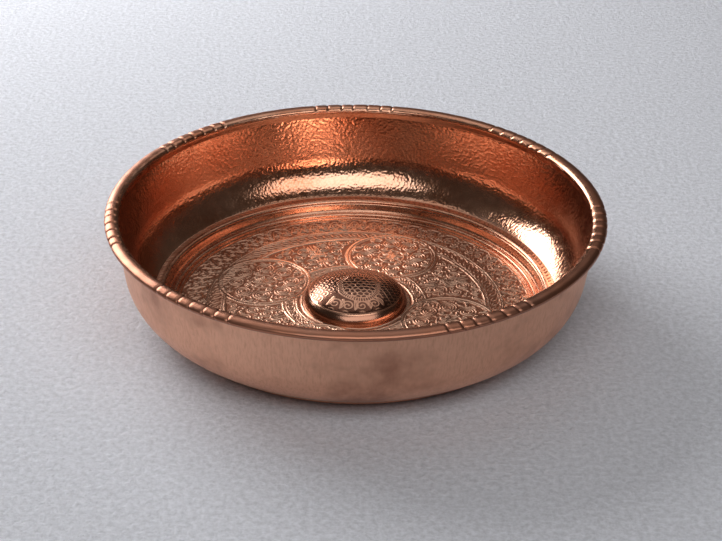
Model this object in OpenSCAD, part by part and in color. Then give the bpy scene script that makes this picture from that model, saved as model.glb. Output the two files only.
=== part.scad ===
// Shallow hammered copper bath bowl with a sunk engraved floor and a raised boss in its middle.
// Units are millimetres and +Z is up. The origin is the centre of the foot, on the plane it stands on.
// Every piece is turned about the Z axis. A piece's outline lists [radius, height] points.

/* [Bowl] */
// Radius over the rim
rim_r = 100.5; // [99:0.5:104]
// Height over the rim
bowl_h = 45.8; // [42:0.1:56]

/* [Wall] */
// Thickness of the wall sheet
wall_t = 1.3; // [1.1:0.05:1.4]
// How far the turn's widest point stands in from the wall's top
wall_lean = 2.2; // [1.8:0.1:2.8]
// Width of the rounded turn at the foot of the wall
turn_w = 26; // [25:0.1:27]
// Height of the rounded turn at the foot of the wall
turn_h = 24; // [23:0.1:25]

/* [Rim] */
// Width of the rolled rim
rim_w = 6; // [5.6:0.1:6.4]
// Thickness of the rolled rim
rim_t = 3.4; // [3.2:0.1:3.8]
// Width of the flattened wire that the rim is rolled round
wire_w = 3.16; // [2.8:0.02:3.16]
// Thickness of the flattened wire
wire_t = 1.16; // [1:0.02:1.16]
// Notches in each group along the rim
notch_count = 7; // [3:1:9]
// Width of a notch
notch_w = 1.5; // [0.8:0.1:2]
// Depth of a notch
notch_depth = 0.5; // [0.2:0.05:0.7]

/* [Floor] */
// Radius of the opening in the wall's ledge, where the floor steps down
ledge_r = 78.3; // [77.8:0.1:78.8]
// Height of the top of the ledge
ledge_z = 7.65; // [7.4:0.05:8]
// Thickness of the floor sheet
floor_t = 1.1; // [1:0.05:1.2]
// Radius of the engraved field
field_r = 72.5; // [71:0.1:72.6]
// How much the middle of the floor is raised above its edge
crown = 0.6; // [0.3:0.05:0.9]
// Distance of the medallions from the middle
medallion_ring_r = 41.5; // [40:0.5:43]
// Radius of a medallion
medallion_r = 19.6; // [17:0.1:20]
// Turn of the four medallions about the middle
medallion_turn = 68; // [0:1:89]

/* [Boss] */
// Radius of the boss at the floor
boss_r = 21.6; // [21.4:0.1:22.5]
// Height of the boss above the floor
boss_h = 8.5; // [8:0.1:12]
// Thickness of the boss sheet
boss_t = 1; // [0.8:0.05:1]

/* [Hidden] */
$fn = 240;

// Clear gap left between two pieces that are fitted together
gap = 0.02;

// Points of a quarter or more of an oval about [cr, cz], from angle a to angle b
function oval(cr, cz, w, h, a, b, n) =
    [for (i = [0 : n]) let (t = a + (b - a) * i / n) [cr + w * cos(t), cz + h * sin(t)]];

// Angle at which a straight line from the point [top_r, top_z] touches an oval about [cr, cz]
function touch_angle(cr, cz, w, h, top_r, top_z) =
    let (a = (top_r - cr) / w, b = (top_z - cz) / h) atan2(b, a) - acos(1 / norm([a, b]));

// Wall: the turn is part of an oval whose axis stands at turn_r, and the wall leaves it smoothly
wall_top_r = rim_r - rim_w + 1.9;
wall_mid_r = wall_top_r - wall_lean;
turn_r = wall_mid_r - turn_w;
turn_z = turn_h + 2.2;
wall_top_z = bowl_h - rim_t - 1.2;
ledge_t = wall_t - 0.1;
ledge_under_z = ledge_z - ledge_t;
// Angles on the turn's outer and inner faces where the ledge begins and where the wall begins
ledge_angle_out = asin((ledge_under_z - turn_z) / turn_h);
ledge_angle_in = asin((ledge_z - turn_z) / (turn_h - wall_t));
wall_angle_out = touch_angle(turn_r, turn_z, turn_w, turn_h, wall_top_r, wall_top_z);
wall_angle_in = touch_angle(turn_r, turn_z, turn_w - wall_t, turn_h - wall_t, wall_top_r - wall_t, wall_top_z);

// Rim: an oval curl about the wire, open below by a narrow slit beside the wall
curl_r = rim_r - rim_w / 2;
curl_z = bowl_h - rim_t / 2;
core_w = wire_w / 2 + gap;
core_t = wire_t / 2 + gap;
notch_pitch = 3.4;
// The seven groups were spaced by eye, so their bearings are uneven
notch_groups = [91, 42, -9, -60, -127, -170, 138];

// Floor: heights of the field, of its raised middle and of the mouldings round it
field_z = floor_t;
middle_z = field_z + crown;
crown_start_r = 66;
crown_end_r = 26;
flange_r = turn_r + turn_w * cos(ledge_angle_out) - 1.5;
flange_z = ledge_under_z - gap;
bead_r = 75.1;
bead_w = 1;
bead_z = 2.2;
bead_h = 0.8;
line_w = 0.5;
line_depth = 0.25;

// Boss: the dome's base stands on the floor, over a low collar round the floor's hole
collar_r = boss_r - boss_t - 0.4;
collar_h = 1.2;
hole_r = collar_r - 1;
dome_z = middle_z + gap;
dome_power = 2.1;

// Points of half a domed outline between angles a and b, where 90 is on the axis and 0 is at the base
function dome(r, h, a, b, n) =
    [for (i = [0 : n]) let (t = a + (b - a) * i / n)
        [r * pow(cos(t), 2 / dome_power), dome_z + h * pow(sin(t), 2 / dome_power)]];

// Height of the dome's outer face at radius r
function dome_height(r) = dome_z + boss_h * pow(1 - pow(r / boss_r, dome_power), 1 / dome_power);

// Raised sheet: ledge, rounded turn, leaning wall and the curl of the rim
module bowl_wall_sheet() {
    rotate_extrude()
        polygon(concat(
            [[ledge_r, ledge_under_z]],
            oval(turn_r, turn_z, turn_w, turn_h, ledge_angle_out, wall_angle_out, 12),
            [[wall_top_r, wall_top_z], [wall_top_r, curl_z - 1]],
            oval(curl_r, curl_z, core_w, core_t, 238, -110, 22),
            oval(curl_r, curl_z, rim_w / 2, rim_t / 2, -104, 180, 36),
            [[curl_r - rim_w / 2 + 0.15, wall_top_z + 1.6], [wall_top_r - wall_t, wall_top_z]],
            oval(turn_r, turn_z, turn_w - wall_t, turn_h - wall_t, wall_angle_in, ledge_angle_in, 12),
            [[ledge_r, ledge_z]]
        ));
}

// One round-bottomed notch, cut across the crest and outer shoulder of the rim
module rim_notch() {
    translate([curl_r, 0, bowl_h + notch_w / 2 - notch_depth])
        rotate([0, 100, 0])
            cylinder(r = notch_w / 2, h = rim_w * 1.6, center = true, $fn = 24);
}

module bowl_wall() {
    color("#B5795F")
        difference() {
            bowl_wall_sheet();
            for (bearing = notch_groups, i = [0 : notch_count - 1])
                rotate([0, 0, bearing + (i - (notch_count - 1) / 2) * notch_pitch])
                    rim_notch();
        }
}

// Flattened copper wire inside the curl
module rim_wire() {
    color("#8C5A45")
        rotate_extrude()
            polygon(oval(curl_r, curl_z, wire_w / 2, wire_t / 2, 0, 345, 23));
}

// Sunk floor: collar, crowned field, mouldings, step and the flange under the ledge
module floor_sheet() {
    rotate_extrude()
        polygon(concat(
            [[hole_r, middle_z - floor_t], [crown_end_r, middle_z - floor_t]],
            [[crown_start_r, 0], [bead_r - 1.5, 0]],
            oval(bead_r, 0.6, bead_w, 1, 180, 60, 6),
            [[bead_r + 1.4, 1.3]],
            oval(bead_r + 0.9, 3.5, 2.2, 2.2, -60, 0, 5),
            [[ledge_r + 0.6, flange_z - floor_t], [flange_r, flange_z - floor_t], [flange_r, flange_z]],
            [[ledge_r + 0.7, flange_z], [ledge_r - 0.1, flange_z - 0.4], [ledge_r - 0.9, 3.9]],
            [[bead_r + 1.7, 2.6], [bead_r + 1.3, 2.2], [bead_r + 1, bead_z]],
            oval(bead_r, bead_z, bead_w, bead_h, 0, 180, 10),
            [[bead_r - 1.35, field_z + 0.4], [bead_r - 1.7, field_z + 0.3]],
            [[bead_r - 2, field_z + 0.65], [bead_r - 2.4, field_z + 0.65], [field_r, field_z]],
            [[crown_start_r, field_z], [crown_end_r, middle_z], [collar_r, middle_z]],
            [[collar_r, middle_z + collar_h], [hole_r, middle_z + collar_h]]
        ));
}

// A tall thin ring of the given radius, which marks out a round line
module ring_line(r) {
    difference() {
        cylinder(r = r + line_w / 2, h = 5, center = true);
        cylinder(r = r - line_w / 2, h = 6, center = true);
    }
}

// Repeats its children at the four medallions
module at_medallions() {
    for (i = [0 : 3])
        rotate([0, 0, medallion_turn + 90 * i])
            translate([medallion_ring_r, 0, 0])
                children();
}

// Engraved lines: the two bands stop at the medallions, whose outlines are double
module floor_lines() {
    difference() {
        for (r = [26.2, 29.4, 54.2, 61])
            ring_line(r);
        at_medallions()
            cylinder(r = medallion_r, h = 8, center = true);
    }
    at_medallions() {
        ring_line(medallion_r - line_w / 2);
        ring_line(medallion_r - 2);
    }
}

// Everything above the depth of the engraved lines, which follows the crown
module above_line_depth() {
    translate([0, 0, -line_depth])
        rotate_extrude()
            polygon([
                [boss_r, middle_z], [crown_end_r, middle_z],
                [crown_start_r, field_z], [field_r, field_z],
                [field_r, bowl_h], [boss_r, bowl_h]
            ]);
}

module floor_plate() {
    color("#A8684E")
        difference() {
            floor_sheet();
            intersection() {
                floor_lines();
                above_line_depth();
            }
        }
}

// Tin solder that fills the corner between the flange's edge and the wall
module floor_seam_solder() {
    color("#A9A7A0")
        rotate_extrude()
            polygon([
                [flange_r + gap, flange_z],
                [flange_r + gap, flange_z - floor_t + 0.1],
                [flange_r + 0.8, flange_z - 0.6],
                [flange_r + 1.4, flange_z]
            ]);
}

// Hollow dome, open below, that stands on the floor round the collar
module boss_dome() {
    color("#5B3A30")
        difference() {
            rotate_extrude()
                polygon(concat(
                    dome(boss_r, boss_h, 90, 0, 20),
                    dome(boss_r - boss_t, boss_h - boss_t, 0, 90, 20)
                ));
            for (r = [9.5, 12.5, 19])
                rotate_extrude()
                    translate([r, dome_height(r)])
                        circle(r = 0.2, $fn = 16);
        }
}

// Tin solder ring inside the boss, between the collar's top and the dome
module boss_seam_solder() {
    color("#A9A7A0")
        rotate_extrude()
            polygon([
                [hole_r + 0.1, middle_z + collar_h + gap],
                [collar_r, middle_z + collar_h + gap],
                [collar_r - 0.4, middle_z + collar_h + 0.9]
            ]);
}

bowl_wall();
rim_wire();
floor_plate();
floor_seam_solder();
boss_dome();
boss_seam_solder();
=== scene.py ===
"""Hammered copper bath bowl: raised wall, rolled rim, sunk engraved floor and engraved boss."""

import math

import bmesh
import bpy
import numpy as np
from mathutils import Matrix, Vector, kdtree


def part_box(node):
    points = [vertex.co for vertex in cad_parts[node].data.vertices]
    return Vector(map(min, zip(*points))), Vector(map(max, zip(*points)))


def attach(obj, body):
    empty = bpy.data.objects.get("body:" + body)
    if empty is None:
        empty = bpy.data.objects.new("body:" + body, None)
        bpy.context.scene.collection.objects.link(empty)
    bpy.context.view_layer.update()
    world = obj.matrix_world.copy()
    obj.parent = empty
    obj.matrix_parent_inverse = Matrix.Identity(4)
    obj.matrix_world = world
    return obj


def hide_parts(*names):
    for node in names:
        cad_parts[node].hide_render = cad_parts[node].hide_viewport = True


bl_info = {
    "name": "Hammered copper bowl",
    "version": (1, 0, 0),
    "blender": (4, 5, 0),
    "location": "View3D > Sidebar > Copper Bowl",
    "description": "Builds a hammered and engraved copper bowl round its packed solids",
    "category": "Add Mesh",
}

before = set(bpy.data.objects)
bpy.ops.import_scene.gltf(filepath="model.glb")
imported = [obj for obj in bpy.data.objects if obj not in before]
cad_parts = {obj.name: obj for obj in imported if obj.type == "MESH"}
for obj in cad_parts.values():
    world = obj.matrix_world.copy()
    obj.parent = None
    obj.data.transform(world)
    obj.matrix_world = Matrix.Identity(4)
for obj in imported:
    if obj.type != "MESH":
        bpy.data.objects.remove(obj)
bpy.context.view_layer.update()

MM = 0.001
WALL_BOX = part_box("bowl_wall")
FLOOR_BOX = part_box("floor_plate")
BOSS_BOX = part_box("boss_dome")


def in_mm(metres):
    return metres / MM


# ---------------------------------------------------------------- sizes and colours


def length(name, description, metres):
    """A length property with its default in metres."""
    return bpy.props.FloatProperty(name=name, description=description, default=metres, unit="LENGTH")


class BowlSizes(bpy.types.PropertyGroup):
    """Lengths that shape the bowl, and a bearing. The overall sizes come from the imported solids."""

    rim_width: length("Rim width", "Width of the rolled rim", 0.006)
    rim_thickness: length("Rim thickness", "Thickness of the rolled rim", 0.0034)
    wall_sheet: length("Wall sheet", "Thickness of the wall sheet", 0.0013)
    wall_lean: length("Wall lean", "How far the turn stands in from the wall's top", 0.0022)
    turn_width: length("Turn width", "Width of the rounded turn at the wall's foot", 0.026)
    turn_height: length("Turn height", "Height of the rounded turn", 0.024)
    ledge_radius: length("Ledge opening", "Radius of the ledge's opening", 0.0783)
    ledge_height: length("Ledge height", "Height of the ledge's top", 0.00765)
    mark_spacing: length("Hammer mark spacing", "Distance between hammer marks", 0.0013)
    mark_depth: length("Hammer mark depth", "Depth of a hammer mark", 0.00008)
    notch_depth: length("Notch depth", "Depth of the notches in the rim", 0.00045)
    notch_width: length("Notch width", "Width of the notches in the rim", 0.0019)
    floor_sheet: length("Floor sheet", "Thickness of the floor sheet", 0.0011)
    floor_crown: length("Floor crown", "Rise of the floor's middle", 0.0006)
    field_radius: length("Field radius", "Radius of the engraved field", 0.0725)
    medallion_radius: length("Medallion radius", "Radius over a medallion's outline", 0.0199)
    medallion_distance: length("Medallion distance", "Distance of a medallion from the middle", 0.0415)
    medallion_turn: bpy.props.FloatProperty(
        name="Medallion turn", description="Bearing of the first medallion", default=math.radians(68), unit="ROTATION"
    )
    ground_depth: length("Ground depth", "Depth of the ground cut round the pattern", 0.00036)
    boss_sheet: length("Boss sheet", "Thickness of the boss sheet", 0.001)
    boss_ground_depth: length("Boss ground depth", "Depth of the ground cut on the boss", 0.00007)


def linear(code):
    """Linear RGBA of an sRGB hex colour."""
    parts = [int(code[i : i + 2], 16) / 255 for i in (1, 3, 5)]
    return tuple(c / 12.92 if c <= 0.04045 else ((c + 0.055) / 1.055) ** 2.4 for c in parts) + (1.0,)


def colour(name, description, code):
    """A colour property whose default is an sRGB hex colour."""
    return bpy.props.FloatVectorProperty(
        name=name, description=description, default=linear(code), size=4, min=0, max=1, subtype="COLOR"
    )


class BowlColours(bpy.types.PropertyGroup):
    """Colours of the bowl's finishes and of the floor that it stands on."""

    clean: colour("Clean copper", "Freshly rubbed copper", "#F6C8AC")
    warm: colour("Warm copper", "Copper with a thin reddish film", "#C27A58")
    dull: colour("Dull copper", "Handled, dulled copper", "#EEB99C")
    # Painted shade: the darker brown of the rim's crest and outer side
    handled: colour("Handled copper", "Rim that hands have browned", "#A97762")
    stain: colour("Stain", "Brown stain on dull copper", "#A8725C")
    patina: colour("Patina", "Dark patina in the cut ground", "#A06A52")
    # Also painted shade along the bottoms of the rim's notches
    dark_patina: colour("Dark patina", "Dark patina on the boss", "#7A5242")
    tin: colour("Tin", "Dull tin solder", "#A6A49E")
    surface: colour("Surface", "Pale surface that the bowl stands on", "#EFF1F9")


def sizes():
    """The bowl's sizes in millimetres, by name."""
    group = bpy.context.scene.bowl_sizes
    return {key: in_mm(getattr(group, key)) for key in BowlSizes.__annotations__ if key != "medallion_turn"}


# ---------------------------------------------------------------- turned meshes


def oval(centre_r, centre_z, width, height, start, end, count=40):
    """Points of an oval between two angles in degrees."""
    t = np.radians(np.linspace(start, end, count))
    return np.column_stack([centre_r + width * np.cos(t), centre_z + height * np.sin(t)])


def touch_angle(centre_r, centre_z, width, height, r, z):
    """Angle in degrees at which a straight line from the point r, z touches an oval."""
    a, b = (r - centre_r) / width, (z - centre_z) / height
    return math.degrees(math.atan2(b, a) - math.acos(1 / math.hypot(a, b)))


class Rows:
    """Rows of a turned piece: radius, height, outward normal, distance along the outline and zone."""

    def __init__(self, stretches, closed=True):
        """stretches is a list of (points, longest step, zone), each starting where the last one ends."""
        parts, zones = [], []
        for points, step, zone in stretches:
            points = np.asarray(points, float)
            along = np.concatenate([[0], np.cumsum(np.hypot(*np.diff(points, axis=0).T))])
            count = max(1, math.ceil(along[-1] / step))
            at = np.linspace(0, along[-1], count + 1)[:-1]
            parts.append(np.column_stack([np.interp(at, along, points[:, k]) for k in (0, 1)]))
            zones += [zone] * count
        if not closed:
            parts.append(np.asarray(stretches[-1][0], float)[-1:])
            zones.append(zones[-1])
        self.closed = closed
        self.r, self.z = np.vstack(parts).T
        self.zone = np.array(zones)
        if closed:
            dr = np.roll(self.r, -1) - np.roll(self.r, 1)
            dz = np.roll(self.z, -1) - np.roll(self.z, 1)
        else:
            dr, dz = np.gradient(self.r), np.gradient(self.z)
        span = np.hypot(dr, dz)
        self.nr, self.nz = dz / span, -dr / span
        self.along = np.concatenate([[0], np.cumsum(np.hypot(np.diff(self.r), np.diff(self.z)))])


def bearings(turns):
    """Bearings in radians of the corners of a ring that is turned in so many steps."""
    return np.arange(turns) * 2 * np.pi / turns


def straights(points, steps):
    """Stretches that join the points in turn, each with its longest step."""
    return [([a, b], step) for a, b, step in zip(points, points[1:], steps)]


def turned_mesh(name, rows, turns, lift, marks=None):
    """A mesh turned about Z from rows, pushed out by lift (mm) and carrying per-vertex values in marks."""
    theta = bearings(turns)
    radius = rows.r[:, None] + rows.nr[:, None] * lift
    height = rows.z[:, None] + rows.nz[:, None] * lift
    points = np.stack([radius * np.cos(theta), radius * np.sin(theta), height], axis=-1).reshape(-1, 3) * MM
    count = len(rows.r)
    i = np.arange(count if rows.closed else count - 1)[:, None]
    j = np.arange(turns)[None, :]
    nxt, side = (i + 1) % count, (j + 1) % turns
    quads = np.stack([i * turns + j, i * turns + side, nxt * turns + side, nxt * turns + j], axis=-1)
    zone = np.repeat(rows.zone[: len(i)], turns)
    mesh = make_mesh(name, points, quads.reshape(-1, 4), zone)
    for key, values in (marks or {}).items():
        add_values(mesh, key, values)
    return mesh


def make_mesh(name, points, faces, zones):
    """A smooth-shaded mesh of faces with equal corner counts; zones gives each face's material."""
    mesh = bpy.data.meshes.new(name)
    corners = faces.shape[1]
    mesh.vertices.add(len(points))
    mesh.vertices.foreach_set("co", points.astype(np.float32).ravel())
    mesh.loops.add(faces.size)
    mesh.loops.foreach_set("vertex_index", faces.astype(np.int32).ravel())
    mesh.polygons.add(len(faces))
    mesh.polygons.foreach_set("loop_start", np.arange(0, faces.size, corners, dtype=np.int32))
    mesh.polygons.foreach_set("material_index", zones.astype(np.int32))
    mesh.polygons.foreach_set("use_smooth", np.ones(len(faces), dtype=bool))
    mesh.update(calc_edges=True)
    mesh.validate()
    return mesh


def joined(a, b, n):
    """Triangles between two rings of n vertices each, which start at indices a and b."""
    j = np.arange(n)
    side = (j + 1) % n
    return np.vstack([np.column_stack([a + j, b + j, b + side]), np.column_stack([a + j, b + side, a + side])])


def fanned(a, b, n):
    """Triangles between a ring of n vertices from index a and one of twice as many from index b."""
    j = np.arange(n)
    one, two, after, side = b + 2 * j, b + 2 * j + 1, b + (2 * j + 2) % (2 * n), a + (j + 1) % n
    corners = ([a + j, one, two], [a + j, two, side], [side, two, after])
    return np.vstack([np.column_stack(three) for three in corners])


def add_values(mesh, key, values):
    """Stores one number per vertex under a name that a material can read."""
    layer = mesh.attributes.new(key, "FLOAT", "POINT")
    layer.data.foreach_set("value", np.asarray(values, np.float32).ravel())


def place(mesh, makers, slot, node=None):
    """Links a mesh as a piece of the bowl, with a finish for each zone, and hides the named solid."""
    finishes = [finish_of(maker) for maker in makers]
    piece = bpy.data.objects.new(mesh.name, mesh)
    bpy.context.scene.collection.objects.link(piece)
    for finish in finishes:
        mesh.materials.append(finish)
    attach(piece, "root")
    if node:
        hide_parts(node)
    return piece


def ramp(value, low, high):
    """Smooth step from 0 at low to 1 at high."""
    t = np.clip((value - low) / (high - low), 0, 1)
    return t * t * (3 - 2 * t)


def sway(theta, height, size):
    """Slow unevenness of hand-raised sheet, from 0 to -size, the same on both faces."""
    waves = (
        np.sin(3 * theta + 0.7 + 0.02 * height)
        + 0.8 * np.sin(5 * theta + 2.1 - 0.05 * height)
        + 0.6 * np.sin(9 * theta + 4.4 + 0.11 * height)
    )
    return size * (waves / 4.8 - 0.5)


def hammer_marks(around, up, loop, spacing, seed):
    """Depth share (0 on a ridge, 1 at the middle) of the hammer mark under each point.

    around runs once round a ring of length loop, and up runs across it, both in mm.
    """
    rng = np.random.default_rng(seed)
    columns = round(loop / spacing)
    row_gap = spacing * 0.9
    lowest = up.min()
    lines = math.ceil((up.max() - lowest) / row_gap) + 3
    jitter = rng.uniform(-0.34, 0.34, (lines, columns, 2))
    weight = rng.uniform(0, 0.22, (lines, columns))
    u, v = around / loop * columns, (up - lowest) / row_gap + 1
    cell_u, cell_v = np.floor(u).astype(int), np.floor(v).astype(int)
    nearest = np.full(u.shape, 9.0)
    for step_v in (-1, 0, 1):
        line = np.clip(cell_v + step_v, 0, lines - 1)
        for step_u in (-1, 0, 1):
            column = (cell_u + step_u) % columns
            shift = 0.5 * (line % 2)
            du = u - (cell_u + step_u + 0.25 + shift + jitter[line, column, 0])
            dv = v - (cell_v + step_v + 0.5 + jitter[line, column, 1])
            nearest = np.minimum(nearest, du * du + dv * dv + weight[line, column])
    return 1 - np.clip(nearest / 0.62, 0, 1)


# ---------------------------------------------------------------- engraved pattern
# A stroke is an array of x, y and half width in mm along a line that the graver leaves standing.


def tapered(x, y, width, ends=0.35):
    """A stroke through the given points, thinner at both ends."""
    t = np.linspace(0, 1, len(x))
    return np.column_stack([x, y, width * (ends + (1 - ends) * np.sin(np.pi * t) ** 0.7)])


def curl(x, y, size, start, hand, width=0.2, pitch=1.15):
    """A scroll that winds in by pitch each turn to a bud, from its outer end at bearing start in degrees."""
    core = 0.22 * size
    turns = (size - core) / pitch
    t = np.linspace(0, 1, 20 + int(16 * turns))
    radius = size - (size - core) * t
    angle = math.radians(start) + hand * turns * 2 * np.pi * t
    line = np.column_stack([x + radius * np.cos(angle), y + radius * np.sin(angle), width * (1 - 0.3 * t)])
    line[-1, 2] = min(0.8 * core, 0.42)
    return line


def shifted(px, py, angle, x, y):
    """Points turned about the origin by an angle in radians, then moved by x, y."""
    return x + px * math.cos(angle) - py * math.sin(angle), y + px * math.sin(angle) + py * math.cos(angle)


def leaf(x, y, reach, bearing, bend=0.3, width=0.5):
    """A comma-shaped leaf from its foot at x, y along a bearing in degrees: an outline, or solid when narrow."""
    t = np.linspace(0, 1, 12)
    side = bend * reach * np.sin(np.pi * t * 0.9)
    full = width * np.sin(np.pi * (0.06 + 0.92 * t)) ** 0.8
    if width < 0.6:
        edges = [(side, full)]
    else:
        thin = np.full(12, 0.17)
        edges = [(side + full, thin), (side - full, thin), (side, thin * 0.8)]
    a = math.radians(bearing)
    return [np.column_stack([*shifted(reach * t, off, a, x, y), half]) for off, half in edges]


def moved(strokes, bearing=0.0, x=0.0, flip=False):
    """Copies of strokes, mirrored in the X axis if flip, turned by a bearing in degrees and moved by x."""
    a, side = math.radians(bearing), -1 if flip else 1
    return [np.column_stack([*shifted(line[:, 0], side * line[:, 1], a, x, 0), line[:, 2]]) for line in strokes]


def samples_of(strokes, gap=0.16):
    """All strokes as points no further apart than gap."""
    parts = []
    for line in strokes:
        along = np.concatenate([[0], np.cumsum(np.hypot(*np.diff(line[:, :2], axis=0).T))])
        at = np.linspace(0, along[-1], max(2, math.ceil(along[-1] / gap) + 1))
        parts.append(np.column_stack([np.interp(at, along, line[:, k]) for k in (0, 1, 2)]))
    return np.vstack(parts)


def outside_strokes(strokes, x, y):
    """Distance of each point from the edge of the nearest stroke, negative inside it."""
    samples = samples_of(strokes)
    tree = kdtree.KDTree(len(samples))
    for i, (px, py, _) in enumerate(samples):
        tree.insert((px, py, 0), i)
    tree.balance()
    result = np.empty(x.size)
    for i, (px, py) in enumerate(zip(x.ravel().tolist(), y.ravel().tolist())):
        _, at, distance = tree.find((px, py, 0))
        result[i] = distance - samples[at, 2]
    return result.reshape(x.shape)


def filled(strokes, room, box, seed, largest=2.3):
    """Adds small curls and leaves wherever the ground is still bare.

    room(x, y) is the free distance to the edge of the region, and box its corners (x, y, x, y).
    """
    smallest, tries = 0.5, 900
    rng = np.random.default_rng(seed)
    samples = samples_of(strokes, 0.3)
    out = list(strokes)
    for floor_size in np.linspace(largest, smallest, 4):
        for _ in range(tries):
            x, y = rng.uniform(box[0], box[2]), rng.uniform(box[1], box[3])
            turn, hand, kind = rng.uniform(0, 360), rng.choice((-1, 1)), rng.uniform()
            free = min(room(x, y), (np.hypot(samples[:, 0] - x, samples[:, 1] - y) - samples[:, 2]).min()) - 0.3
            if free < floor_size:
                continue
            size = min(free, largest)
            if size > 1.15 and kind < 0.75:
                new = [curl(x, y, size, turn, hand, 0.18)]
            else:
                a = math.radians(turn)
                new = leaf(x - size * math.cos(a), y - size * math.sin(a), 2 * size, turn, 0.25 * hand, 0.27)
            out += new
            samples = np.vstack([samples, samples_of(new, 0.3)])
    return out


def polar(radius, bearing):
    """x and y of a point at a radius and a bearing in degrees."""
    return radius * np.cos(np.radians(bearing)), radius * np.sin(np.radians(bearing))


# ---------------------------------------------------------------- materials


def join(tree, node, links):
    """Gives each named input of a node a value, or a socket to follow."""
    for key, value in links.items():
        if isinstance(value, bpy.types.NodeSocket):
            tree.links.new(value, node.inputs[key])
        else:
            node.inputs[key].default_value = value


def add(tree, kind, links, out=0, **settings):
    """Adds a shader node with its settings and links, and returns one of its outputs."""
    node = tree.nodes.new("ShaderNode" + kind)
    for key, value in settings.items():
        setattr(node, key, value)
    join(tree, node, links)
    return node.outputs[out]


def per_mm(period):
    """Scale of a pattern whose repeat is the given number of millimetres."""
    return 1 / (period * MM)


def new_finish(name, metallic=1.0):
    """A material, its node tree, its shader and the position on the piece in metres."""
    material = bpy.data.materials.new(name)
    material.use_nodes = True
    tree = material.node_tree
    shader = tree.nodes["Principled BSDF"]
    shader.inputs["Metallic"].default_value = metallic
    return material, tree, shader, add(tree, "TexCoord", {}, "Object")


def hammered_copper(colours):
    """Planished with a small round-faced hammer: bright marks, warm film on the ridges between them."""
    material, tree, shader, where = new_finish("hammered copper")
    film = add(tree, "TexNoise", {"Vector": where, "Scale": per_mm(30), "Detail": 3.0})
    film = add(tree, "MapRange", {"Value": film, "From Min": 0.35, "From Max": 0.7, "To Min": 0.45})
    mark = add(tree, "Attribute", {}, "Fac", attribute_name="mark")
    ridge = add(tree, "MapRange", {"Value": mark, "From Max": 0.8, "To Min": 1.0, "To Max": 0.65})
    share = add(tree, "Math", {0: film, 1: ridge}, operation="MULTIPLY")
    base = add(tree, "Mix", {0: share, 6: colours.clean, 7: colours.warm}, 2, data_type="RGBA")
    cloud = add(tree, "TexNoise", {"Vector": where, "Scale": per_mm(4), "Detail": 3.0})
    rough = add(tree, "MapRange", {"Value": cloud, "From Min": 0.3, "From Max": 0.7, "To Min": 0.12, "To Max": 0.22})
    grain = add(tree, "TexNoise", {"Vector": where, "Scale": per_mm(1.1), "Detail": 2.0})
    bump = add(tree, "Bump", {"Height": grain, "Distance": 0.05 * MM})
    join(tree, shader, {"Base Color": base, "Roughness": rough, "Normal": bump})
    return material


def brushed_copper(colours):
    """Scoured outside and dulled by handling: mottled with brown stains, with short upright scratches."""
    material, tree, shader, where = new_finish("brushed copper")
    blotch = add(tree, "TexNoise", {"Vector": where, "Scale": per_mm(26), "Detail": 4.0, "Roughness": 0.62})
    blotch = add(tree, "MapRange", {"Value": blotch, "From Min": 0.48, "From Max": 0.72, "To Max": 0.75})
    speck = add(tree, "TexNoise", {"Vector": where, "Scale": per_mm(5), "Detail": 4.0, "Roughness": 0.6})
    speck = add(tree, "MapRange", {"Value": speck, "From Min": 0.55, "From Max": 0.8, "To Max": 0.35})
    upright = add(tree, "Mapping", {"Vector": where, "Scale": (1, 1, 0.16)})
    scratch = add(tree, "TexNoise", {"Vector": upright, "Scale": per_mm(0.8), "Detail": 3.0, "Roughness": 0.6})
    streak = add(tree, "MapRange", {"Value": scratch, "From Min": 0.45, "From Max": 0.8, "To Max": 0.3})
    share = add(tree, "Math", {0: blotch, 1: speck}, operation="MAXIMUM")
    share = add(tree, "Math", {0: share, 1: streak}, operation="MAXIMUM")
    base = add(tree, "Mix", {0: share, 6: colours.dull, 7: colours.stain}, 2, data_type="RGBA")
    rough = add(tree, "MapRange", {"Value": scratch, "From Min": 0.3, "From Max": 0.7, "To Min": 0.4, "To Max": 0.56})
    bump = add(tree, "Bump", {"Height": scratch, "Distance": 0.05 * MM})
    join(tree, shader, {"Base Color": base, "Roughness": rough, "Normal": bump})
    return material


def burnished_copper(colours):
    """Rubbed smooth with a steel burnisher: soft mirror with faint drag lines round the bowl."""
    material, tree, shader, where = new_finish("burnished copper")
    film = add(tree, "TexNoise", {"Vector": where, "Scale": per_mm(18), "Detail": 3.0})
    film = add(tree, "MapRange", {"Value": film, "From Min": 0.35, "From Max": 0.75, "To Min": 0.45})
    base = add(tree, "Mix", {0: film, 6: colours.clean, 7: colours.warm}, 2, data_type="RGBA")
    # On the rim's flank cut marks the bottoms of the notches, which are painted dark as shade
    cut = add(tree, "Attribute", {}, "Fac", attribute_name="cut")
    base = add(tree, "Mix", {0: cut, 6: base, 7: colours.dark_patina}, 2, data_type="RGBA")
    round_bowl = add(tree, "Mapping", {"Vector": where, "Scale": (1, 1, 9)})
    drag = add(tree, "TexNoise", {"Vector": round_bowl, "Scale": per_mm(3)})
    rough = add(tree, "MapRange", {"Value": drag, "From Min": 0.3, "From Max": 0.7, "To Min": 0.2, "To Max": 0.32})
    bump = add(tree, "Bump", {"Height": drag, "Distance": 0.02 * MM})
    join(tree, shader, {"Base Color": base, "Roughness": rough, "Normal": bump})
    return material


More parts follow.
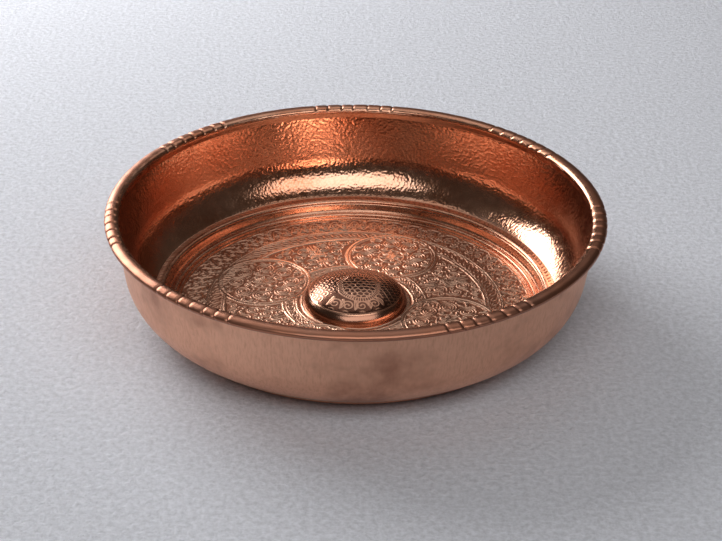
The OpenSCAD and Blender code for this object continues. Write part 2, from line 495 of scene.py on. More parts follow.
def cut_copper(colours, name, line, ground, line_gloss, ground_gloss, matting):
    """Cut sheet: rubbed lines stand over a ground matted with a fine punch and left dark. On the rim's crest both
    colours are painted shade, darkest in the notches.
    """
    material, tree, shader, where = new_finish(name)
    cut = add(tree, "Attribute", {}, "Fac", attribute_name="cut")
    film = add(tree, "TexNoise", {"Vector": where, "Scale": per_mm(22), "Detail": 3.0})
    film = add(tree, "MapRange", {"Value": film, "From Min": 0.35, "From Max": 0.75, "To Max": 0.5})
    top = add(tree, "Mix", {0: film, 6: line, 7: colours.warm}, 2, data_type="RGBA")
    base = add(tree, "Mix", {0: cut, 6: top, 7: ground}, 2, data_type="RGBA")
    rough = add(tree, "MapRange", {"Value": cut, "To Min": line_gloss, "To Max": ground_gloss})
    # Real matting dots are about 0.3 mm; these are 0.5 mm so that they show
    dots = add(tree, "TexVoronoi", {"Vector": where, "Scale": per_mm(0.5)})
    dots = add(tree, "Math", {0: dots, 1: cut}, operation="MULTIPLY")
    bump = add(tree, "Bump", {"Height": dots, "Distance": matting * MM})
    join(tree, shader, {"Base Color": base, "Roughness": rough, "Normal": bump})
    return material


def engraved_copper(colours):
    """The floor: pale rubbed lines over brown ground, which together read as pink-brown lace."""
    return cut_copper(colours, "engraved copper", colours.clean, colours.patina, 0.26, 0.4, 0.1)


def matted_copper(colours):
    """The ledge: dull sheet with a row of dark punch marks."""
    return cut_copper(colours, "matted copper", colours.dull, colours.stain, 0.3, 0.42, 0.05)


def handled_copper(colours):
    """The rim's crest and outer side: a darker brown that is painted shade, half dull, with painted shade darkest in
    the filed notches.
    """
    return cut_copper(colours, "handled copper", colours.handled, colours.dark_patina, 0.37, 0.45, 0.02)


def patinated_copper(colours):
    """The boss: glossier and nearly black in its ground, so its pattern stands out."""
    return cut_copper(colours, "patinated copper", colours.dull, colours.dark_patina, 0.22, 0.2, 0.015)


def tin_solder(colours):
    """Wiped tin: grey and dull, slightly lumpy."""
    material, tree, shader, where = new_finish("tin solder")
    lumps = add(tree, "TexNoise", {"Vector": where, "Scale": per_mm(2), "Detail": 3.0})
    rough = add(tree, "MapRange", {"Value": lumps, "From Min": 0.3, "From Max": 0.7, "To Min": 0.42, "To Max": 0.6})
    bump = add(tree, "Bump", {"Height": lumps, "Distance": 0.08 * MM})
    join(tree, shader, {"Base Color": colours.tin, "Roughness": rough, "Normal": bump})
    return material


def wool_felt(colours):
    """Pale pressed wool that the bowl stands on: matt, faintly fibrous."""
    material, tree, shader, where = new_finish("wool felt", 0.0)
    fibre = add(tree, "TexNoise", {"Vector": where, "Scale": per_mm(2.2), "Detail": 6.0, "Roughness": 0.7})
    share = add(tree, "MapRange", {"Value": fibre, "From Min": 0.35, "From Max": 0.65})
    darker = tuple(c * 0.74 for c in colours.surface[:3]) + (1.0,)
    base = add(tree, "Mix", {0: share, 6: darker, 7: colours.surface}, 2, data_type="RGBA")
    bump = add(tree, "Bump", {"Height": fibre, "Distance": 1.1 * MM})
    join(tree, shader, {"Base Color": base, "Normal": bump, "Roughness": 0.95, "Specular IOR Level": 0.15})
    return material


def finish_of(maker):
    """The material that a maker makes, made once."""
    name = maker.__name__.replace("_", " ")
    return bpy.data.materials.get(name) or maker(bpy.context.scene.bowl_colours)


# ---------------------------------------------------------------- the pieces

# Zones of a piece, each with the finish of the same place in the piece's list
OUTSIDE, INSIDE, LEDGE, SHOULDER = 0, 1, 2, 3
RUBBED, RIM_SHADE = 0, 1
PLAIN, WORKED = 0, 1


def rim_centre(size):
    """Radius and height of the middle of the rolled rim."""
    outer = in_mm(min(WALL_BOX[1][0], WALL_BOX[1][1]))
    return outer - size["rim_width"] / 2, in_mm(WALL_BOX[1][2]) - size["rim_thickness"] / 2


class BOWL_OT_wall(bpy.types.Operator):
    """Raised wall with its rounded turn and ledge, hammered all over inside"""

    bl_idname = "bowl.wall"
    bl_label = "Hammered wall"

    def execute(self, context):
        size = sizes()
        curl_r, curl_z = rim_centre(size)
        sheet = size["wall_sheet"]
        bead_inner_r = curl_r - size["rim_width"] / 2
        top_r = bead_inner_r + 1.9
        mid_r = top_r - size["wall_lean"]
        turn_r = mid_r - size["turn_width"]
        turn_z = size["turn_height"] + 2.2
        top_z = in_mm(WALL_BOX[1][2]) - size["rim_thickness"] - 1.2
        under_z = size["ledge_height"] - sheet + 0.1
        out_angle = math.degrees(math.asin((under_z - turn_z) / size["turn_height"]))
        in_angle = math.degrees(math.asin((size["ledge_height"] - turn_z) / (size["turn_height"] - sheet)))
        outside = (turn_r, turn_z, size["turn_width"], size["turn_height"])
        inside = (turn_r, turn_z, size["turn_width"] - sheet, size["turn_height"] - sheet)
        # The wall above the turn is straight and leaves it without a crease
        outer = oval(*outside, out_angle, touch_angle(*outside, top_r, top_z))
        inner = oval(*inside, touch_angle(*inside, top_r - sheet, top_z), in_angle)
        neck = np.array([[top_r, curl_z - 1], [top_r, curl_z], [bead_inner_r + 0.8, curl_z + 0.2]])
        throat = np.array(
            [[bead_inner_r + 0.1, curl_z - 0.2], [bead_inner_r + 0.15, top_z + 1.6], [top_r - sheet, top_z]]
        )
        ledge_edge = size["ledge_radius"]
        shoulder = oval(ledge_edge + 1.9, size["ledge_height"] - 1.1, 1.9, 1.1, 90, 180, 30)
        rows = Rows(
            [
                ([[ledge_edge, under_z], outer[0]], 1.6, OUTSIDE),
                (outer, 1.1, OUTSIDE),
                ([outer[-1], [top_r, top_z]], 2.0, OUTSIDE),
                (np.vstack([[top_r, top_z], neck]), 0.5, OUTSIDE),
                (np.vstack([neck[-1], throat]), 0.38, INSIDE),
                (np.vstack([throat[-1], inner[0]]), 0.38, INSIDE),
                (inner, 0.38, INSIDE),
                ([inner[-1], shoulder[0]], 0.33, LEDGE),
                (shoulder, 0.12, SHOULDER),
                ([shoulder[-1], [ledge_edge, under_z]], 0.5, SHOULDER),
            ]
        )
        turns = 2000
        theta = bearings(turns)
        t, h = np.meshgrid(theta, rows.z)
        lift = np.where(rows.nr[:, None] >= 0, 1, -1) * sway(t, h, 0.35) * ramp(h, 9, 26) * (1 - ramp(h, 40, 44))
        mark = np.zeros_like(lift)
        hammered = rows.zone == INSIDE
        first = rows.along[hammered].min()
        around = t[hammered] * mid_r
        up = np.broadcast_to(rows.along[hammered][:, None] - first, around.shape)
        wander = 0.35 * np.sin(around / 7.3 + up / 5.1) + 0.3 * np.sin(around / 3.1 - up / 8.7)
        depth = hammer_marks(around, up + wander, 2 * np.pi * mid_r, size["mark_spacing"], 11)
        edge = ramp(up, 1.0, 4.0) * (1 - ramp(up, up.max() - 1.2, up.max()))
        mark[hammered] = depth
        lift[hammered] -= size["mark_depth"] * depth * edge
        punched = self.punch_marks(rows, theta, ledge_edge)
        lift -= 0.22 * punched
        mesh = turned_mesh("hammered_wall", rows, turns, lift, {"mark": mark, "cut": punched})
        makers = (brushed_copper, hammered_copper, matted_copper, burnished_copper)
        place(mesh, makers, "wall_copper", "bowl_wall")
        return {"FINISHED"}

    def punch_marks(self, rows, theta, ledge_edge):
        """Share of depth of the slanting punch marks along the ledge, which vary as hand work does."""
        count, middle_r, slant = 212, 81, 0.6
        uneven = np.random.default_rng(8).uniform(-1, 1, (count, 3))
        ledge = (rows.zone == LEDGE)[:, None]
        t, r = np.meshgrid(theta, rows.r)
        turn = t / (2 * np.pi) * count - slant * (r - ledge_edge - 2.9) / 1.6
        nearest = np.round(turn).astype(int) % count
        across = (turn - np.round(turn) - 0.16 * uneven[nearest, 0]) * 2 * np.pi * middle_r / count
        along = (r - (ledge_edge + 2.95 + 0.2 * uneven[nearest, 1])) / (0.9 + 0.2 * uneven[nearest, 2])
        half = (0.36 + 0.12 * uneven[nearest, 2]) * np.clip(1 - along**2, 0, 1) ** 0.6
        marks = ramp(half - np.abs(across), -0.1, 0.25) * (np.abs(along) < 1)
        inner_line = ramp(0.22 - np.abs(r - ledge_edge - 2.0), -0.1, 0.2) * 0.5
        return np.where(ledge, np.maximum(marks, inner_line), 0)


class BOWL_OT_rim(bpy.types.Operator):
    """Rim rolled over the wire, burnished, with groups of notches filed across it"""

    bl_idname = "bowl.rim"
    bl_label = "Rolled rim"

    # Bearings of the middles of the notch groups in degrees; they were spaced one by one
    GROUPS = (91, 42, -9, -60, -127, -170, 138)
    NOTCHES = 7
    PITCH = 3.4

    def execute(self, context):
        size = sizes()
        curl_r, curl_z = rim_centre(size)
        half_w, half_t = size["rim_width"] / 2, size["rim_thickness"] / 2
        # The crest and outer side are dull and painted darker as shade; the inner flank stays rubbed and bright
        crest = oval(curl_r, curl_z, half_w, half_t, -104, 112, 68)
        flank = oval(curl_r, curl_z, half_w, half_t, 112, 186, 24)
        neck = [flank[-1], [curl_r - half_w + 0.6, curl_z - 0.3], [curl_r - 0.9, curl_z - 0.9], crest[0]]
        rows = Rows([(crest, 0.3, RIM_SHADE), (flank, 0.3, RUBBED), (neck, 0.4, RUBBED)])
        turns = 2400
        theta = bearings(turns)
        t, h = np.meshgrid(theta, rows.z)
        reach = np.degrees(np.arctan2((rows.z - curl_z) * half_w / half_t, rows.r - curl_r))[:, None]
        reach = np.where(reach < -120, reach + 360, reach)
        lift = sway(t, 0 * h, 0.12) * ramp(reach, -60, 30)
        lift = lift - 0.03 * (1 + np.sin(61 * t + 2 * np.sin(7 * t))) * ramp(reach, -20, 60)
        arc = 2 * np.pi * curl_r
        # dark is painted shade along the narrow bottom of each notch, passed on as cut
        notch, dark = np.zeros_like(t), np.zeros_like(t)
        rng = np.random.default_rng(5)
        for group in self.GROUPS:
            for i in range(self.NOTCHES):
                bearing = group + (i - (self.NOTCHES - 1) / 2) * self.PITCH + rng.uniform(-0.35, 0.35)
                width = size["notch_width"] * rng.uniform(0.85, 1.15)
                deep = rng.uniform(0.8, 1.15)
                off = (np.degrees(t) - bearing + 180) % 360 - 180
                off = np.abs(off / 360 * arc + 0.35 * (h - curl_z))
                line = np.clip(1 - off / (0.24 * width), 0, 1)
                cut = 0.55 * line + 0.45 * (1 - ramp(off, 0, 0.75 * width))
                notch = np.maximum(notch, deep * cut)
                dark = np.maximum(dark, 0.8 * line)
        reached = ramp(reach, -50, -15) * (1 - ramp(reach, 160, 182))
        lift -= size["notch_depth"] * notch * reached
        mesh = turned_mesh("rolled_rim", rows, turns, lift, {"cut": dark * reached})
        place(mesh, (burnished_copper, handled_copper), "wall_copper")
        return {"FINISHED"}


def floor_levels(size):
    """Heights and radii of the floor that several pieces share."""
    level = {"field_z": size["floor_sheet"], "crown_start": 66.0, "crown_end": 26.0, "bead_r": 75.1}
    level["middle_z"] = size["floor_sheet"] + size["floor_crown"]
    level["flange_r"] = in_mm(FLOOR_BOX[1][0])
    level["flange_z"] = in_mm(FLOOR_BOX[1][2])
    level["boss_r"] = in_mm(BOSS_BOX[1][0])
    level["boss_z"] = in_mm(BOSS_BOX[0][2])
    level["boss_h"] = in_mm(BOSS_BOX[1][2]) - level["boss_z"]
    return level


def crown_height(level, r):
    """Height of the engraved field's plain surface at radius r."""
    share = np.clip((level["crown_start"] - r) / (level["crown_start"] - level["crown_end"]), 0, 1)
    return level["field_z"] + (level["middle_z"] - level["field_z"]) * share


class BOWL_OT_floor(bpy.types.Operator):
    """Sunk floor sheet: flange, step, turned mouldings, plain underside and collar"""

    bl_idname = "bowl.floor"
    bl_label = "Floor sheet"

    def execute(self, context):
        size = sizes()
        level = floor_levels(size)
        sheet, edge_r, field_r = size["floor_sheet"], size["ledge_radius"], size["field_radius"]
        bead, field_z, middle_z = level["bead_r"], level["field_z"], level["middle_z"]
        start_r, end_r = level["crown_start"], level["crown_end"]
        flange_r, flange_z = level["flange_r"], level["flange_z"]
        under_z, flange_under_z = middle_z - sheet, flange_z - sheet
        collar_r, collar_z = level["boss_r"] - size["boss_sheet"] - 0.4, middle_z + 1.2
        hole_r = collar_r - 1
        # The field's own cut surface lies in a shallow seat, so that it can carry a finer mesh
        seat = 0.6
        seat_z, seat_middle_z = field_z - seat, middle_z - seat
        step = [[bead + 1.4, 1.3], oval(bead + 0.9, 3.5, 2.2, 2.2, -60, 0, 12), [edge_r + 0.6, flange_under_z]]
        fall = [
            [edge_r + 0.7, flange_z],
            [edge_r - 0.1, flange_z - 0.4],
            [edge_r - 0.55, flange_z - 1.6],
            [edge_r - 0.95, 3.6],
            [bead + 1.75, 2.75],
        ]
        under = [
            *straights([[hole_r, under_z], [end_r, under_z], [start_r, 0], [bead - 1.5, 0]], (2, 4, 2)),
            (np.vstack([[bead - 1.5, 0], oval(bead, 0.6, 1, 1, 180, 60, 12)]), 0.4),
            (np.vstack([oval(bead, 0.6, 1, 1, 60, 60, 1), *step]), 0.5),
            *straights([step[-1], [flange_r, flange_under_z], [flange_r, flange_z], fall[0]], (1.5, 0.6, 1.5)),
        ]
        mouldings = [
            (fall, 0.25),
            ([fall[-1], [bead + 1.5, 2.75]], 0.1),
            ([[bead + 1.5, 2.75], [bead + 1.25, 2.15], [bead + 1.0, 2.15]], 0.12),
            (oval(bead, 2.2, 1.0, 0.8, 0, 180, 30), 0.18),
            ([[bead - 1.0, 2.2], [bead - 1.3, 1.35], [bead - 1.75, 1.3]], 0.15),
            ([[bead - 1.75, 1.3], [bead - 1.95, 1.75], [bead - 2.35, 1.75]], 0.12),
            ([[bead - 2.35, 1.75], [field_r, field_z], [field_r, seat_z]], 0.2),
        ]
        seat_line = [[field_r, seat_z], [start_r, seat_z], [end_r, seat_middle_z], [collar_r, seat_middle_z]]
        collar_line = [[collar_r, collar_z], [hole_r, collar_z], [hole_r, under_z]]
        middle = straights(seat_line + collar_line, (2, 4, 2, 0.6, 0.6, 0.8))
        parts = ((under, PLAIN), (mouldings, WORKED), (middle, PLAIN))
        rows = Rows([(points, gap, zone) for part, zone in parts for points, gap in part])
        turns = 960
        theta = bearings(turns)
        t, h = np.meshgrid(theta, rows.z)
        polished = (rows.zone == WORKED)[:, None]
        lift = np.where(polished, 0.06 * np.sin(11 * t + 1.3) * np.sin(4 * t), 0) * ramp(h, 1.2, 2.4)
        mesh = turned_mesh("floor_sheet", rows, turns, lift)
        place(mesh, (brushed_copper, burnished_copper), "floor_copper", "floor_plate")
        return {"FINISHED"}


# Radii of the two plain-edged bands that run between the medallions, in mm
BANDS = ((24.2, 29.6), (54.0, 61.4))
BORDER = (62.2, 72.2)


def chain(inner, outer, count, span):
    """Slanting S-shaped links along a band, over a span of bearings in degrees."""
    middle, half = (inner + outer) / 2, (outer - inner) / 2 - 1.75
    pitch = 360 / count
    t = np.linspace(-1, 1, 24)
    links = []
    for bearing in np.arange(-span / 2, span / 2 + pitch / 2, pitch):
        x, y = polar(middle + half * np.sin(1.45 * t), bearing + pitch * (0.25 * t + 0.45 * t**3))
        links.append(tapered(x, y, 0.24, 0.7))
        x, y = polar(middle + 0.5 * half * np.sin(1.45 * t), bearing + pitch * (0.5 + 0.3 * t))
        links.append(tapered(x, y, 0.18, 0.5))
    return links


def border_scroll(span, pitch):
    """Waving stem with a scroll in every bend and leaf pairs along both edges of the border."""
    middle = sum(BORDER) / 2
    bearing = np.arange(-span / 2, span / 2, 0.25)
    x, y = polar(middle + 3.3 * np.cos(2 * np.pi * bearing / pitch), bearing)
    strokes = [np.column_stack([x, y, np.full(len(x), 0.22)])]
    for k in np.arange(-span / 2, span / 2 + pitch / 2, pitch / 2):
        up = 1 if round(k / (pitch / 2)) % 2 == 0 else -1
        x, y = polar(middle - 0.4 * up, k)
        strokes.append(curl(x, y, 2.25, k + 90 * up, up, 0.22))
        for side in (-1, 1):
            x, y = polar(middle - 2.9 * up, k + side * 0.35)
            strokes += leaf(x, y, 2.7, k + (180 if up > 0 else 0) - side * up * 42, side * up * 0.3, 0.6)
            x, y = polar(middle - 4.9 * up, k + side * 0.5)
            strokes += leaf(x, y, 2.4, k + 90 * side, -side * up * 0.2, 0.3)
    return strokes


def medallion_scrolls(centre):
    """Scrolls and leaves in eight rays round a rosette, about the medallion's centre on the X axis."""
    strokes = []
    for k in range(8):
        hand = 1 if k % 2 == 0 else -1
        arm = [
            curl(11.3, 0, 3.9, 180 + 40 * hand, hand, 0.22),
            curl(6.2, 2.6 * hand, 1.5, 90 * hand, -hand, 0.2),
            *leaf(1.0, 0, 3.8, 0, 0.1, 0.75),
            *leaf(14.4, 3.6, 3.4, 66, -0.3, 0.6),
            *leaf(14.4, -3.6, 3.4, -66, 0.3, 0.6),
            *leaf(15.6, 0, 2.2, 88, -0.15, 0.3),
        ]
        strokes += moved(arm, 45 * k + 22.5, centre)
    for radius, width in ((0.45, 0.5), (5.4, 0.2)):
        x, y = polar(radius, np.linspace(0, 360, 60))
        strokes.append(np.column_stack([centre + x, y, np.full(60, width)]))
    return strokes


def field_scrolls(distance):
    """Palmette with mirrored scrolls that fills the space between two medallions, about the X axis."""
    half = [
        curl(5.4, 4.5, 3.3, -70, 1),
        curl(-4.6, 4.2, 2.9, 40, -1),
        curl(0.6, 8.8, 2.7, -150, -1),
        curl(8.6, 11.0, 2.5, -120, 1),
        curl(-9.4, 3.2, 2.1, 60, 1),
        *leaf(0.4, 0.5, 3.6, 62, 0.25, 0.8),
        *leaf(0.9, 0.2, 3.9, 20, 0.2, 0.8),
        *leaf(-0.6, 0.6, 3.2, 118, -0.25, 0.7),
        *leaf(4.5, 0.5, 5.2, 8, 0.16, 0.6),
        *leaf(-4.4, 0.5, 4.4, 172, -0.16, 0.6),
    ]
    stem_x = np.linspace(-10.8, 10.4, 40)
    stem = tapered(stem_x, 0 * stem_x, 0.24, 0.5)
    both = half + moved(half, flip=True) + [stem]
    for offset in (13.5, 17.6):
        for side in (-1, 1):
            x, y = polar(distance + 9.0 - (offset > 15) * 0.2, side * offset)
            both.append(curl(x - distance, y, 1.9, side * 60, side))
    return moved(both, 0, distance)


class BOWL_OT_field(bpy.types.Operator):
    """Engraved field of the floor: medallions, chain bands, palmettes and a scrolled border"""

    bl_idname = "bowl.field"
    bl_label = "Engraved field"

    def execute(self, context):
        size = sizes()
        level = floor_levels(size)
        turn = context.scene.bowl_sizes.medallion_turn
        distance, outline = size["medallion_distance"], size["medallion_radius"]
        strokes = self.strokes(distance, outline)
        inner_r, split_r, outer_r = level["boss_r"] - 0.9, 42.0, size["field_radius"] - 0.03
        gap, few, many = 0.29, 720, 1440
        near = np.linspace(inner_r, split_r, round((split_r - inner_r) / gap) + 1)
        far = np.linspace(split_r, outer_r, round((outer_r - split_r) / gap) + 1)
        rings = [(r, few) for r in near[:-1]] + [(r, many) for r in far]
        radius = np.concatenate([np.full(n, r) for r, n in rings])
        theta = np.concatenate([bearings(n) for _, n in rings])
        open_ground = self.open_ground(radius, theta, turn, strokes, distance, outline)
        depth = size["ground_depth"] * open_ground
        height = crown_height(level, radius) - depth - 0.04 * (1 + np.sin(radius / 2.3 + 3 * np.sin(2 * theta)))
        height[radius > outer_r - 0.1] = level["field_z"] - 0.02
        top = np.column_stack([radius * np.cos(theta), radius * np.sin(theta), height])
        mesh = self.plate_mesh(rings, top, level)
        add_values(mesh, "cut", np.concatenate([open_ground, np.zeros(len(mesh.vertices) - len(top))]))
        place(mesh, (engraved_copper,), "floor_copper")
        return {"FINISHED"}

    def strokes(self, distance, outline):
        """All strokes of one quarter of the field, whose medallion lies on the X axis."""
        medallion_room = outline - 2.4
        strokes = filled(
            medallion_scrolls(distance),
            lambda x, y: medallion_room - math.hypot(x - distance, y),
            (distance - 18, -18, distance + 18, 18),
            3,
        )
        low, high = BANDS[0][1] + 0.2, BANDS[1][0] - 0.2
        side_x, side_y = polar(distance, 45)
        palmette = filled(
            field_scrolls(distance),
            lambda x, y: min(
                math.hypot(x, y) - low,
                high - math.hypot(x, y),
                math.hypot(x - side_x, y - side_y) - outline,
                math.hypot(x - side_x, y + side_y) - outline,
            ),
            (26, -30, 56, 30),
            4,
        )
        strokes += moved(palmette, 45) + moved(palmette, -45)
        strokes += chain(*BANDS[0], 48, 105) + chain(*BANDS[1], 92, 100)
        scroll = filled(
            border_scroll(30, 7.5),
            lambda x, y: min(math.hypot(x, y) - BORDER[0], BORDER[1] - math.hypot(x, y)),
            (50, -16, 73, 16),
            6,
            1.6,
        )
        for bearing in (-45, -15, 15, 45):
            part = [line for line in scroll if abs(math.degrees(math.atan2(*line[:, 1::-1].mean(axis=0)))) <= 15.4]
            strokes += moved(part, bearing)
        return strokes

    def open_ground(self, radius, theta, turn, strokes, distance, outline):
        """0 where the surface stands and 1 where the ground is cut away, for every vertex."""
        bearing = np.degrees(theta - turn)
        wobble = 0.5 * np.sin(3 * theta + 1) + 0.35 * np.sin(7 * theta + radius / 9)
        quarter = (bearing + 0.25 * wobble + 45) % 90 - 45
        near_r = radius + 0.22 * np.sin(radius / 4.7 + 5 * theta)
        x, y = polar(near_r, quarter)
        from_medallion = np.hypot(x - distance, y)
        off = outside_strokes(strokes, x, y)
        # Lines between the medallions: two bands, the border's outer line and the ring round the boss
        boss_ring_r, border_width = 22.6, 10.1
        plain = np.minimum(near_r - boss_ring_r, np.abs(near_r - BORDER[0] - border_width) - 0.25)
        for low, high in BANDS:
            for edge, width in ((low, 0.5), (high, 0.5), (low + 1.15, 0.2), (high - 1.15, 0.2)):
                plain = np.minimum(plain, np.abs(near_r - edge) - width)
        plain = np.where(from_medallion > outline, np.minimum(plain, 9.0), 9.0)
        for edge, width in ((outline - 0.55, 0.55), (outline - 1.95, 0.24)):
            plain = np.minimum(plain, np.abs(from_medallion - edge) - width)
        return ramp(np.minimum(off, plain), -0.06, 0.2)

    def plate_mesh(self, rings, top, level):
        """Closed plate: the cut rings on top, joined ring to ring, over a flat bottom."""
        starts = np.concatenate([[0], np.cumsum([n for _, n in rings])])
        faces = []
        for k in range(len(rings) - 1):
            same = rings[k][1] == rings[k + 1][1]
            faces.append((joined if same else fanned)(starts[k], starts[k + 1], rings[k][1]))
        total, first_n, last_n = len(top), rings[0][1], rings[-1][1]
        last, low = total - last_n, total + first_n
        inner_edge, outer_edge = top[:first_n].copy(), top[last:].copy()
        inner_edge[:, 2] = level["middle_z"] - 0.5
        outer_edge[:, 2] = level["field_z"] - 0.5
        points = np.vstack([top, inner_edge, outer_edge])
        faces += [joined(total, 0, first_n), joined(last, low, last_n), fanned(total, low, first_n)[:, [0, 2, 1]]]
        faces = np.vstack(faces)
        return make_mesh("engraved_field", points * MM, faces, np.zeros(len(faces)))


class BOWL_OT_boss(bpy.types.Operator):
    """Hollow boss: a latticed panel over its crown, crossed lines, scales, scrolls and a plain skirt"""

    bl_idname = "bowl.boss"
    bl_label = "Engraved boss"

    POWER = 2.1
    # The open-work panel is an oval that lies over the crown toward the front; arc distances in mm
    PANEL_X, PANEL_Y, PANEL_R = 1.8, -2.4, 7.0
    EDGE = 19.6

    def dome(self, level, inset, start, end, count):
        """Points of the dome's outline between two angles, 90 on the axis and 0 at the base."""
        t = np.radians(np.linspace(start, end, count))
        r = (level["boss_r"] - inset) * np.abs(np.cos(t)) ** (2 / self.POWER)
        z = (level["boss_h"] - inset) * np.abs(np.sin(t)) ** (2 / self.POWER)
        r[np.isclose(t, np.pi / 2)] = 0
        return np.column_stack([r, level["boss_z"] + z])

    def execute(self, context):
        size = sizes()
        level = floor_levels(size)
        inner = self.dome(level, size["boss_sheet"], 90, 0, 200)
        outer = self.dome(level, 0, 0, 90, 400)
        rows = Rows([(inner, 0.9, PLAIN), ([inner[-1], outer[0]], 0.4, PLAIN), (outer, 0.25, WORKED)], False)
        rows.nr[-1], rows.nz[-1] = 0, 1
        turns = 560
        theta = bearings(turns)
        cut_rows = rows.zone == WORKED
        from_crown = rows.along[-1] - rows.along[cut_rows]
        s, t = np.meshgrid(from_crown, theta, indexing="ij")
        cut = np.zeros((len(rows.r), turns))
        cut[cut_rows] = self.open_ground(s, t)
        lift = -size["boss_ground_depth"] * cut
        mesh = turned_mesh("engraved_boss", rows, turns, lift, {"cut": cut})
        work = bmesh.new()
        work.from_mesh(mesh)
        bmesh.ops.remove_doubles(work, verts=work.verts, dist=0.002 * MM)
        work.to_mesh(mesh)
        work.free()
        place(mesh, (brushed_copper, patinated_copper), "boss_copper", "boss_dome")
        return {"FINISHED"}

    def open_ground(self, s, theta):
        """0 where the surface stands and 1 where the ground is cut away, from arc distance and bearing."""
        x, y = s * np.cos(theta), s * np.sin(theta)
        wobble = 0.25 * np.sin(5 * theta + s / 3)
        from_panel = np.hypot(x - self.PANEL_X, 0.84 * (y - self.PANEL_Y)) - self.PANEL_R + wobble
        round_panel = np.arctan2(x - self.PANEL_X, y - self.PANEL_Y) * (self.PANEL_R + 1)
        off = outside_strokes(self.strokes(), x, y)
        side = theta % (2 * np.pi)
        off = np.where((side < 1.6) | (side > 5.6), self.crossed(x, y), off)
        off = np.where((side > 1.6) & (side < 3.8), self.scales(x, y), off)
        hatched = self.spaced(round_panel, 0.9) - 0.12
        off = np.where(from_panel < 1.8, hatched, off)
        off = np.where(from_panel < 0, self.lattice(x, y), off)
        for line in (from_panel, from_panel - 1.8):
            off = np.minimum(off, np.abs(line) - 0.17)
        off = np.where(s > self.EDGE, 9.0, off)
        off = np.minimum(off, np.abs(s - self.EDGE) - 0.17)
        # The skirt below the pattern is plain and nearly as dark as the ground
        skirt = 0.75 * ramp(s, self.EDGE + 0.3, self.EDGE + 0.6)
        return np.where(s < self.EDGE + 0.3, ramp(off, -0.06, 0.18), skirt)

    def spaced(self, value, pitch):
        """Distance to the nearest of a row of parallel lines."""
        return np.abs((value / pitch) % 1 - 0.5) * pitch

    def crossed(self, x, y):
        """Distance outside straight lines that cross on the slant."""
        return np.minimum(self.spaced(x + 0.55 * y, 2.6), self.spaced(0.3 * x - y, 1.9)) - 0.12

    def scales(self, x, y):
        """Distance outside the nested arcs of overlapping scales."""
        reach, row_gap, pitch = 2.7, 2.3, 4.4
        row = np.floor(-x / row_gap)
        chosen = np.full(x.shape, 9.0)
        for back in (2, 1, 0, -1):
            j = row - back
            shift = (j % 2) * pitch / 2
            across = y - shift - np.round((y - shift) / pitch) * pitch
            distance = np.hypot(across, -x - (j + 0.5) * row_gap)
            chosen = np.where(distance < reach, distance, chosen)
        return self.spaced(chosen + 0.35, 1.3) - 0.13

    def lattice(self, x, y):
        """Distance outside the thin walls of an uneven honeycomb."""
        rng = np.random.default_rng(21)
        pitch = 2.3
        grid = [
            (i * pitch + (j % 2) * pitch / 2, j * pitch * 0.87) for j in range(-6, 10) for i in range(-7, 7)
        ]
        centres = np.array(grid) + rng.uniform(-0.4, 0.4, (len(grid), 2))
        nearest, second = np.full(x.shape, 99.0), np.full(x.shape, 99.0)
        for cx, cy in centres:
            gap = np.hypot(x - cx, y - cy)
            second = np.minimum(second, np.maximum(gap, nearest))
            nearest = np.minimum(nearest, gap)
        return (second - nearest) / 2 - 0.2

    def strokes(self):
        """Large scrolls and leaves low at the front."""
        strokes = []
        for bearing, hand in ((-122, 1), (-101, -1), (-79, 1), (-58, -1)):
            x, y = polar(15.6, bearing)
            strokes.append(curl(x, y, 2.7, bearing + 90 * hand, hand, 0.26, 1.5))
        for bearing in (-132, -112, -90, -68, -48):
            x, y = polar(12.6, bearing)
            strokes += leaf(x, y, 5.2, bearing, 0.12, 0.7)
            x, y = polar(18.6, bearing + 6)
            strokes += leaf(x, y, 2.6, bearing + 90, 0.15, 0.25)
        return strokes


class BOWL_OT_hidden_parts(bpy.types.Operator):
    """Rim wire and the two solder seams, which keep their solids' shapes"""

    bl_idname = "bowl.hidden_parts"
    bl_label = "Wire and solder"

    def execute(self, context):
        finishes = {
            "rim_wire": finish_of(burnished_copper),
            "floor_seam_solder": finish_of(tin_solder),
            "boss_seam_solder": finish_of(tin_solder),
        }
        for name, material in finishes.items():
            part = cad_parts[name]
            for slot in part.material_slots:
                slot.material = material
        return {"FINISHED"}


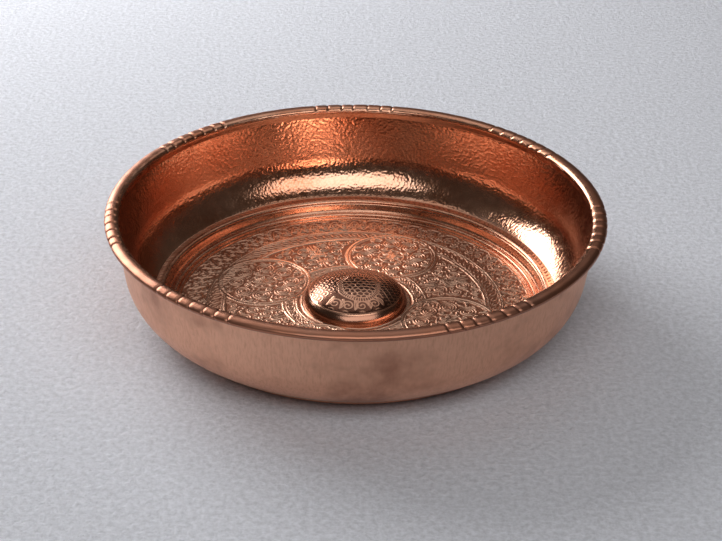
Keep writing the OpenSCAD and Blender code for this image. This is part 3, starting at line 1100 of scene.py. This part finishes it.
class BOWL_OT_stage(bpy.types.Operator):
    """Pale surface, soft studio lights and the camera"""

    bl_idname = "bowl.stage"
    bl_label = "Stage"

    def execute(self, context):
        half = 3.0
        corners = np.array([[-half, -half, 0], [half, -half, 0], [half, half, 0], [-half, half, 0]])
        mesh = make_mesh("surface", corners, np.array([[0, 1, 2, 3]]), np.zeros(1))
        mesh.materials.append(finish_of(wool_felt))
        surface = bpy.data.objects.new("surface", mesh)
        context.scene.collection.objects.link(surface)
        self.light("window", 132, 26, 37, 33, 0.95, 7.6)
        self.light("skylight", 282, 52.5, 60, 32, 1.6, 2.1)
        self.light("overhead", 95, 65, 46, 46, 1.6, 0.6)
        world = bpy.data.worlds.new("studio")
        world.use_nodes = True
        background = world.node_tree.nodes["Background"]
        background.inputs["Color"].default_value = linear("#8A8078")
        background.inputs["Strength"].default_value = 0.2
        context.scene.world = world
        context.scene.view_settings.view_transform = "Standard"
        self.camera(context)
        return {"FINISHED"}

    def light(self, name, bearing, rise, wide, high, away, brightness):
        """A soft panel that faces the bowl from away metres; its direction and apparent size are in degrees."""
        lamp = bpy.data.lights.new(name, "AREA")
        lamp.shape = "RECTANGLE"
        lamp.size = 2 * away * math.tan(math.radians(wide / 2))
        lamp.size_y = 2 * away * math.tan(math.radians(high / 2))
        lamp.energy = brightness * math.pi * lamp.size * lamp.size_y
        holder = bpy.data.objects.new(name, lamp)
        flat, up = math.radians(bearing), math.radians(rise)
        holder.location = (
            away * math.cos(up) * math.cos(flat),
            away * math.cos(up) * math.sin(flat),
            away * math.sin(up),
        )
        holder.rotation_euler = holder.location.to_track_quat("Z", "Y").to_euler()
        bpy.context.scene.collection.objects.link(holder)

    def camera(self, context):
        """Long lens, looking down at the bowl from the front."""
        rise, distance = math.radians(30.58), 0.7476
        aim_right, aim_up, roll = math.tan(math.radians(0.18)), math.tan(math.radians(1.14)), math.radians(0.73)
        place = Vector((0, -distance * math.cos(rise), distance * math.sin(rise) - 0.0013))
        forward = Vector((0, math.cos(rise), -math.sin(rise)))
        right = Vector((1, 0, 0))
        forward = (forward + right * aim_right + right.cross(forward) * aim_up).normalized()
        right = forward.cross(Vector((0, 0, 1))).normalized()
        up = right.cross(forward)
        turned_right = right * math.cos(roll) + up * math.sin(roll)
        turned_up = up * math.cos(roll) - right * math.sin(roll)
        lens = bpy.data.cameras.new("camera")
        lens.lens, lens.sensor_width = 90.0, 36.0
        lens.clip_start = 0.01
        holder = bpy.data.objects.new("camera", lens)
        turn = Matrix((turned_right, turned_up, -forward)).transposed().to_4x4()
        holder.matrix_world = Matrix.Translation(place) @ turn
        context.scene.collection.objects.link(holder)
        context.scene.camera = holder


PIECES = (BOWL_OT_wall, BOWL_OT_rim, BOWL_OT_floor, BOWL_OT_field, BOWL_OT_boss, BOWL_OT_hidden_parts, BOWL_OT_stage)


class BOWL_PT_panel(bpy.types.Panel):
    """Sidebar panel that lists the bowl's sizes, colours and pieces"""

    bl_idname = "BOWL_PT_panel"
    bl_label = "Copper bowl"
    bl_space_type = "VIEW_3D"
    bl_region_type = "UI"
    bl_category = "Copper Bowl"

    def draw(self, context):
        for group in (context.scene.bowl_sizes, context.scene.bowl_colours):
            box = self.layout.box()
            for key in type(group).__annotations__:
                box.prop(group, key)
        for operator in PIECES:
            self.layout.operator(operator.bl_idname)


CLASSES = (BowlSizes, BowlColours, *PIECES, BOWL_PT_panel)


def register():
    for item in CLASSES:
        bpy.utils.register_class(item)
    bpy.types.Scene.bowl_sizes = bpy.props.PointerProperty(type=BowlSizes)
    bpy.types.Scene.bowl_colours = bpy.props.PointerProperty(type=BowlColours)


def unregister():
    del bpy.types.Scene.bowl_colours
    del bpy.types.Scene.bowl_sizes
    for item in reversed(CLASSES):
        bpy.utils.unregister_class(item)


def main():
    register()
    bpy.ops.bowl.wall()
    bpy.ops.bowl.rim()
    bpy.ops.bowl.floor()
    bpy.ops.bowl.field()
    bpy.ops.bowl.boss()
    bpy.ops.bowl.hidden_parts()
    bpy.ops.bowl.stage()


if __name__ == "__main__":
    main()
